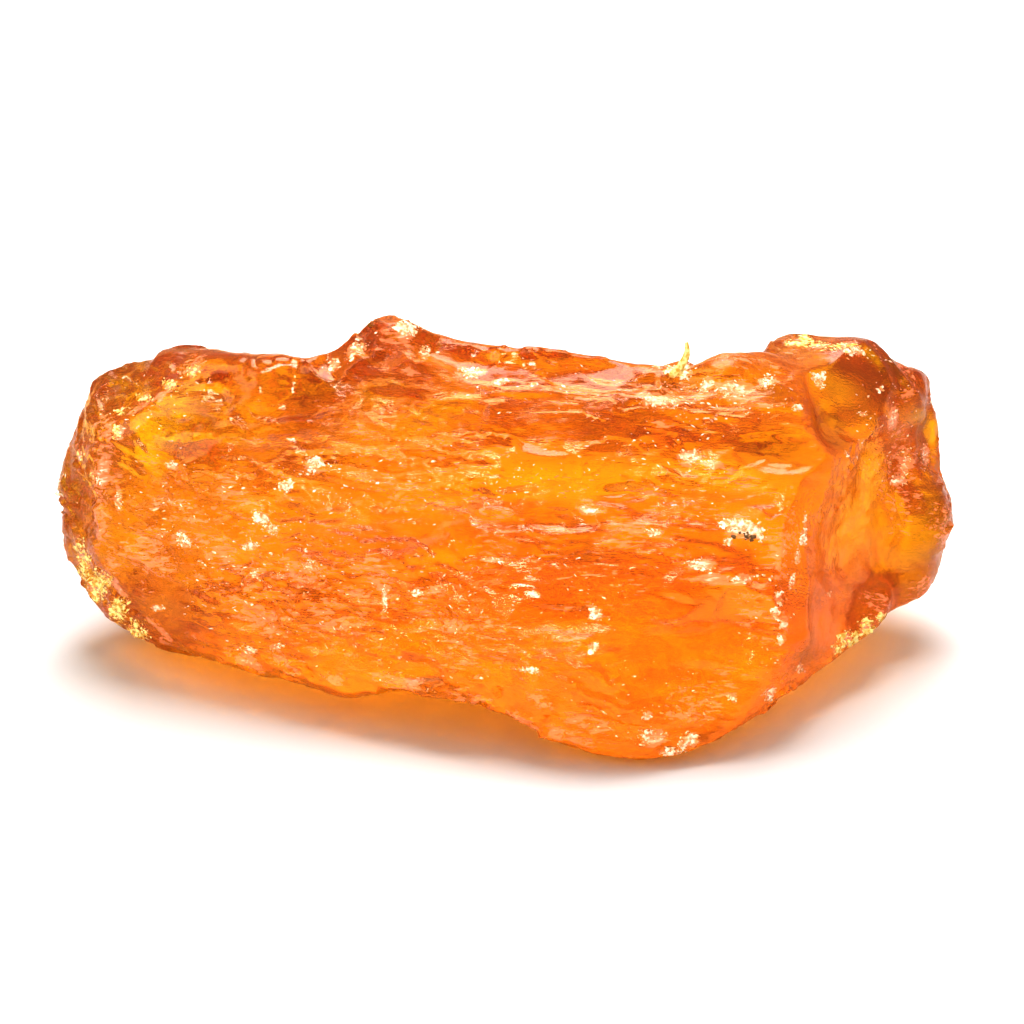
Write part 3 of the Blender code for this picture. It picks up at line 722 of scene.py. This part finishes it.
# Patches: image point, half width and half height in pixels, how many crumbs, and the smallest
# and the largest crumb in millimetres.
CRUST = {
    "peak_crust": (
        (405, 333, 12, 12, 100, 0.18, 0.75),
        (425, 355, 6, 9, 26, 0.12, 0.45),
        (475, 373, 14, 5, 34, 0.12, 0.45),
        (500, 381, 9, 4, 18, 0.12, 0.40),
        (355, 350, 12, 10, 22, 0.15, 0.55),
        (333, 366, 7, 8, 16, 0.15, 0.50),
        (531, 364, 4, 3, 8, 0.12, 0.30),
        (533, 384, 5, 3, 8, 0.12, 0.30),
    ),
    "crown_crust": (
        (672, 370, 16, 6, 60, 0.15, 0.60),
        (687, 372, 6, 5, 20, 0.15, 0.50),
        (708, 385, 10, 7, 22, 0.12, 0.45),
        (660, 400, 22, 8, 26, 0.10, 0.35),
        (735, 388, 24, 10, 30, 0.10, 0.40),
        (770, 381, 10, 6, 24, 0.12, 0.50),
        (857, 351, 12, 6, 40, 0.15, 0.60),
        (819, 381, 6, 9, 34, 0.15, 0.55),
        (799, 407, 5, 4, 16, 0.15, 0.45),
        (879, 390, 3, 3, 6, 0.15, 0.40),
        (863, 414, 5, 3, 10, 0.12, 0.40),
        (848, 455, 3, 3, 6, 0.12, 0.35),
        (893, 420, 8, 16, 14, 0.10, 0.35),
        (690, 457, 12, 8, 26, 0.10, 0.35),
        (712, 466, 10, 6, 18, 0.10, 0.35),
    ),
    "crown_straw": (
        (798, 340, 12, 5, 50, 0.15, 0.80),
        (822, 346, 16, 5, 24, 0.12, 0.50),
        (846, 344, 12, 5, 20, 0.12, 0.50),
        (674, 373, 9, 4, 20, 0.15, 0.60),
    ),
    "ridge_crust": (
        (805, 520, 2, 8, 10, 0.12, 0.35),
        (803, 538, 3, 9, 20, 0.15, 0.50),
        (798, 558, 3, 8, 18, 0.12, 0.45),
        (792, 580, 3, 8, 12, 0.12, 0.35),
        (779, 597, 5, 6, 20, 0.15, 0.50),
        (776, 613, 4, 6, 22, 0.15, 0.50),
        (784, 625, 5, 4, 20, 0.15, 0.50),
        (781, 640, 3, 6, 14, 0.12, 0.40),
        (743, 531, 19, 10, 150, 0.20, 0.60),
        (728, 541, 6, 4, 16, 0.12, 0.40),
        (700, 565, 18, 6, 22, 0.10, 0.35),
        (745, 578, 18, 5, 20, 0.10, 0.30),
        (830, 594, 3, 2, 5, 0.12, 0.30),
        (905, 465, 5, 14, 18, 0.10, 0.35),
        (898, 480, 10, 5, 16, 0.10, 0.40),
        (925, 455, 6, 14, 14, 0.10, 0.35),
    ),
    "hem_crust": (
        (848, 640, 12, 8, 50, 0.20, 0.70),
        (866, 627, 10, 7, 44, 0.20, 0.70),
        (880, 616, 6, 5, 20, 0.15, 0.50),
        (836, 650, 6, 4, 14, 0.15, 0.45),
    ),
    "heel_crust": (
        (84, 560, 9, 18, 130, 0.12, 0.50),
        (97, 588, 11, 14, 150, 0.12, 0.55),
        (114, 610, 14, 12, 150, 0.12, 0.55),
        (138, 630, 14, 10, 110, 0.12, 0.50),
        (110, 582, 5, 8, 20, 0.12, 0.45),
        (80, 455, 4, 8, 10, 0.12, 0.40),
        (92, 475, 3, 6, 8, 0.12, 0.35),
        (122, 410, 7, 5, 24, 0.12, 0.45),
        (118, 432, 7, 8, 26, 0.12, 0.45),
        (145, 398, 10, 5, 24, 0.10, 0.40),
        (170, 385, 10, 6, 26, 0.10, 0.40),
        (192, 372, 8, 7, 22, 0.10, 0.40),
    ),
    "face_crust": (
        (118, 500, 4, 14, 20, 0.10, 0.35),
        (100, 478, 4, 12, 16, 0.10, 0.35),
        (172, 466, 12, 5, 16, 0.10, 0.35),
        (185, 542, 7, 8, 40, 0.12, 0.45),
        (250, 546, 8, 6, 26, 0.12, 0.40),
        (262, 518, 9, 8, 44, 0.12, 0.50),
        (272, 530, 10, 6, 24, 0.12, 0.40),
        (315, 465, 12, 8, 50, 0.12, 0.50),
        (286, 487, 8, 6, 36, 0.12, 0.45),
        (292, 440, 5, 3, 12, 0.10, 0.35),
        (310, 566, 8, 7, 22, 0.12, 0.40),
        (255, 575, 5, 5, 12, 0.12, 0.35),
        (250, 650, 10, 5, 20, 0.10, 0.35),
        (275, 648, 8, 4, 14, 0.10, 0.35),
        (158, 608, 7, 4, 12, 0.10, 0.35),
    ),
    "foot_crust": (
        (655, 738, 14, 10, 34, 0.12, 0.45),
        (690, 742, 10, 8, 40, 0.15, 0.50),
        (672, 752, 14, 4, 34, 0.15, 0.50),
        (648, 716, 6, 5, 14, 0.12, 0.40),
        (733, 697, 4, 4, 12, 0.12, 0.40),
        (770, 693, 8, 8, 26, 0.12, 0.45),
        (799, 668, 8, 5, 16, 0.10, 0.35),
        (597, 615, 6, 8, 40, 0.12, 0.45),
        (592, 648, 6, 6, 34, 0.12, 0.45),
        (533, 670, 13, 4, 40, 0.10, 0.40),
        (591, 511, 9, 3, 20, 0.10, 0.35),
        (655, 533, 10, 6, 22, 0.10, 0.35),
        (418, 593, 8, 4, 22, 0.10, 0.40),
        (535, 736, 2, 2, 5, 0.15, 0.35),
        (495, 560, 24, 3, 12, 0.08, 0.25),
        (385, 600, 4, 14, 20, 0.10, 0.35),
    ),
}


def crust_material(name, light, dark):
    """Oxidised amber: matt and granular, so that it looks solid and pale on the clear resin."""
    material = bpy.data.materials.new(name)
    material.use_nodes = True
    tree = material.node_tree
    shader = tree.nodes["Principled BSDF"]
    shader.inputs["Roughness"].default_value = CRUST_ROUGHNESS
    shader.inputs["Transmission Weight"].default_value = CRUST_CLEAR
    where = add_node(tree, "ShaderNodeTexCoord").outputs["Object"]
    stain = add_node(tree, "ShaderNodeTexNoise", {"Vector": where}, in_Scale=1.0 / STAIN_SIZE, in_Detail=2.0)
    shade = add_node(tree, "ShaderNodeMapRange", {"Value": stain.outputs["Fac"]},
                     in_From_Min=STAIN_RANGE[0], in_From_Max=STAIN_RANGE[1])
    colour = add_node(tree, "ShaderNodeMix", {0: shade.outputs[0]}, data_type="RGBA",
                      in_6=linear(light), in_7=linear(dark))
    tree.links.new(colour.outputs[2], shader.inputs["Base Color"])
    return material


crust = crust_material("weathering crust", CRUST_WHITE, CRUST_STRAW)
straw = crust_material("straw weathering crust", STRAW_PALE, STRAW_DEEP)


def crumb(bm, place, facing, size, draw, long=1.3, flat=0.5):
    """An angular crumb, half sunk in the skin: a many-sided ball with its corners pulled at random."""
    along = Vector((1.0, 0.0, -FLOW_SLANT)).cross(facing).normalized()
    turn = Matrix((along.cross(facing), along, facing)).transposed().to_4x4()
    turn = turn @ Matrix.Rotation(draw.gauss(0.0, 0.5), 4, "Z")
    shape = (long * draw.uniform(0.7, 1.3), draw.uniform(0.6, 1.0), flat * draw.uniform(0.6, 1.4), 1.0)
    at = Matrix.Translation(place) @ turn @ Matrix.Diagonal(shape)
    made = bmesh.ops.create_icosphere(bm, subdivisions=1, radius=size / 2, matrix=at)
    for vert in made["verts"]:
        vert.co += (vert.co - place) * draw.uniform(-CRUMB_PULL, CRUMB_PULL)


def gather(whole, part):
    """Adds one bmesh to another. Crumbs are made a few at a time, because that is much faster."""
    mesh = bpy.data.meshes.new("part")
    part.to_mesh(mesh)
    part.free()
    whole.from_mesh(mesh)
    bpy.data.meshes.remove(mesh)


def crust_piece(bm, name, material):
    """Finishes a piece of crust: inside the box of the CAD model, with flat faces."""
    for vert in bm.verts:
        vert.co = [min(max(vert.co[i], low[i]), high[i]) for i in range(3)]
    piece = piece_from(bm, name, material)
    piece.data.shade_flat()
    lump_side.objects.link(piece)
    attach(piece, "root")


skin_places = np.array([v.co for v in lump.data.vertices]) / MM
whiteness = np.zeros(len(skin_places))
lump.data.attributes["frost_and_sheen"].data.foreach_get("value", whiteness)
for name, patches in CRUST.items():
    draw = random.Random(name)
    crust_bm = bmesh.new()
    for u, v, wide, high_px, count, least, most in patches:
        patch_bm = bmesh.new()
        spot = seen_at(skin, u, v)[0]
        if spot is not None:
            under = CRUST_UNDER * covered(skin_places, spot / MM, wide * PIXEL, high_px * PIXEL, 0)
            whiteness = np.maximum(whiteness, under)
        lobes = [(draw.uniform(-0.8, 0.8), draw.uniform(-0.8, 0.8)) for _ in range(CRUST_LOBES)]
        for _ in range(int(count * CRUMB_RATE)):
            lobe = draw.choice(lobes)
            right, down = (draw.gauss(middle, CRUST_SCATTER) for middle in lobe)
            away = min(1.0, (right**2 + down**2) ** 0.5)
            place, facing = seen_at(skin, u + wide * right, v + high_px * down)
            if place is not None:
                size = (most - least) * draw.random() ** 3 * (1.0 - RIM_SMALLER * away)
                size = CRUMB_SCALE * (least + size)
                if draw.random() < PLATE_SHARE:
                    crumb(patch_bm, place, facing, PLATE_SIZE * size * MM, draw, flat=PLATE_FLAT)
                else:
                    crumb(patch_bm, place, facing, GRAIN_SIZE * size * MM, draw, flat=GRAIN_FLAT)
        gather(crust_bm, patch_bm)
    crust_piece(crust_bm, name, straw if name in STRAW_PIECES else crust)
lump.data.attributes["frost_and_sheen"].data.foreach_set("value", whiteness)

# --- Pit grit -----------------------------------------------------------------------------------
# Dark specks of bark and soil that are caught in the crumbly pit beside the ridge.
BARK_BROWN = "80603A"
PIT = (748, 536)
PIT_WIDE, PIT_HIGH = 8, 4  # pixels
PIT_SPECKS = 16
SPECK_LEAST, SPECK_MOST, SPECK_LIFT = 0.10 * MM, 0.26 * MM, 0.08 * MM

bark = crust_material("bark and soil", BARK_BROWN, BARK_BROWN)
draw = random.Random(41)
pit_bm = bmesh.new()
for _ in range(PIT_SPECKS):
    right, down = draw.gauss(0.0, 0.5) * PIT_WIDE, draw.gauss(0.0, 0.5) * PIT_HIGH
    place, facing = seen_at(skin, PIT[0] + right, PIT[1] + down)
    crumb(pit_bm, place + facing * SPECK_LIFT, facing, draw.uniform(SPECK_LEAST, SPECK_MOST), draw)
crust_piece(pit_bm, "pit_grit", bark)

# --- Flecks -------------------------------------------------------------------------------------
# Tiny flakes that stand up off the weathered front: the skin scales off in thin chips, most of
# them lying along the flow lines. They hold by one edge.
# Areas: image point, half width and half height in pixels, and how many flecks.
FLECKS = (
    (250, 520, 110, 60, 180),
    (330, 600, 150, 60, 200),
    (150, 480, 60, 60, 60),
    (430, 480, 110, 45, 90),
    (600, 470, 110, 30, 70),
    (520, 600, 120, 50, 90),
    (680, 460, 60, 60, 60),
    (720, 400, 80, 25, 110),
    (888, 430, 40, 60, 80),
    (150, 400, 60, 30, 60),
    (640, 700, 80, 40, 60),
    (765, 600, 30, 80, 50),
    (400, 655, 150, 30, 70),
    (550, 390, 120, 25, 60),
    (870, 352, 45, 12, 40),
)
FLECK_LEAST, FLECK_MOST = 0.05, 0.19
FLECK_LONG, FLECK_FLAT = 2.0, 0.45
FLECK_FACING = 0.2  # the least cosine from the camera: none on the edges

draw = random.Random(11)
flecks_bm = bmesh.new()
for u, v, wide, high_px, count in FLECKS:
    patch_bm = bmesh.new()
    for _ in range(count):
        away, angle = draw.random() ** 0.5, draw.uniform(0.0, tau)
        place, facing = seen_at(skin, u + wide * away * cos(angle), v + high_px * away * sin(angle))
        if place is not None and facing.dot(towards_camera) > FLECK_FACING:
            size = FLECK_LEAST + (FLECK_MOST - FLECK_LEAST) * draw.random() ** 3
            crumb(patch_bm, place, facing, size * MM, draw, long=FLECK_LONG, flat=FLECK_FLAT)
    gather(flecks_bm, patch_bm)
crust_piece(flecks_bm, "flecks", crust)

# --- Back crust ---------------------------------------------------------------------------------
# The same crumbs in patches on the back, the ends and the top, which grew there as on the front.
BACK_PATCHES = 60
BACK_CRUMBS = 60
BACK_LOW = 1.5  # millimetres above the table where they start
BACK_SPREAD = (0.6, 2.0)
BACK_LEAST, BACK_MOST = 0.07, (0.2, 0.45)

draw = random.Random(23)
back_bm = bmesh.new()
hidden = [p for p in lump.data.polygons
          if p.normal.dot(towards_camera) < TURNED_AWAY and p.center.z > BACK_LOW * MM]
for _ in range(BACK_PATCHES):
    spot = draw.choice(hidden)
    spread, most = draw.uniform(*BACK_SPREAD), draw.uniform(*BACK_MOST)
    patch_bm = bmesh.new()
    for _ in range(BACK_CRUMBS):
        stray = Vector((draw.gauss(0.0, 1.0), draw.gauss(0.0, 1.0), draw.gauss(0.0, 0.6))) * spread * 0.5 * MM
        place, facing, *_ = skin.find_nearest(spot.center + stray)
        size = BACK_LEAST + (most - BACK_LEAST) * draw.random() ** 3
        crumb(patch_bm, place, facing, size * MM, draw)
    gather(back_bm, patch_bm)
crust_piece(back_bm, "back_crust", crust)

# --- Splinter -----------------------------------------------------------------------------------
# A thin curved sliver of pale yellow amber and a shorter one beside it, left standing on the crown
# where a flake tore away. Each is held by its root.
# Slivers: image points of the root and the tip, how far it bows in millimetres, and its root radius.
SLIVERS = (
    ((671, 375), (685, 342), 0.40, 0.42),
    ((676, 374), (684, 356), 0.10, 0.34),
)
SLIVER_RINGS = 7
SLIVER_SIDES = 7
SLIVER_THIN = 0.5  # its depth for its width
SLIVER_TIP = 0.25  # the tip's radius for the root's
SLIVER_SUNK = 0.15 * MM
KNOT_SIZE, KNOT_HEIGHT = MM / 0.9, 0.3
KNOT_SHIFT = 5000.0  # gives each sliver its own knots

draw = random.Random(31)
splinter_bm = bmesh.new()
for root, tip, bow, radius in SLIVERS:
    start, _ = seen_at(skin, *root)
    height = (root[1] - tip[1]) * PIXEL / cos(CAMERA_HEIGHT_ANGLE) * MM
    lean = (tip[0] - root[0]) * PIXEL * MM
    sliver_bm = bmesh.new()
    bmesh.ops.create_cone(sliver_bm, cap_ends=True, segments=SLIVER_SIDES, radius1=radius * MM,
                          radius2=SLIVER_TIP * radius * MM, depth=height)
    sides = [e for e in sliver_bm.edges if abs(e.verts[0].co.z - e.verts[1].co.z) > 0.5 * height]
    bmesh.ops.subdivide_edges(sliver_bm, edges=sides, cuts=SLIVER_RINGS, use_grid_fill=True)
    for vert in sliver_bm.verts:
        up = vert.co.z / height + 0.5
        vert.co.y *= SLIVER_THIN
        knot = noise.noise_vector(vert.co / KNOT_SIZE + start * KNOT_SHIFT)
        vert.co += knot * KNOT_HEIGHT * radius * MM
        vert.co += Vector((lean * up + bow * MM * sin(up * pi), 0.0, height / 2 - SLIVER_SUNK)) + start
    bmesh.ops.recalc_face_normals(sliver_bm, faces=sliver_bm.faces)
    gather(splinter_bm, sliver_bm)
crust_piece(splinter_bm, "splinter", straw)
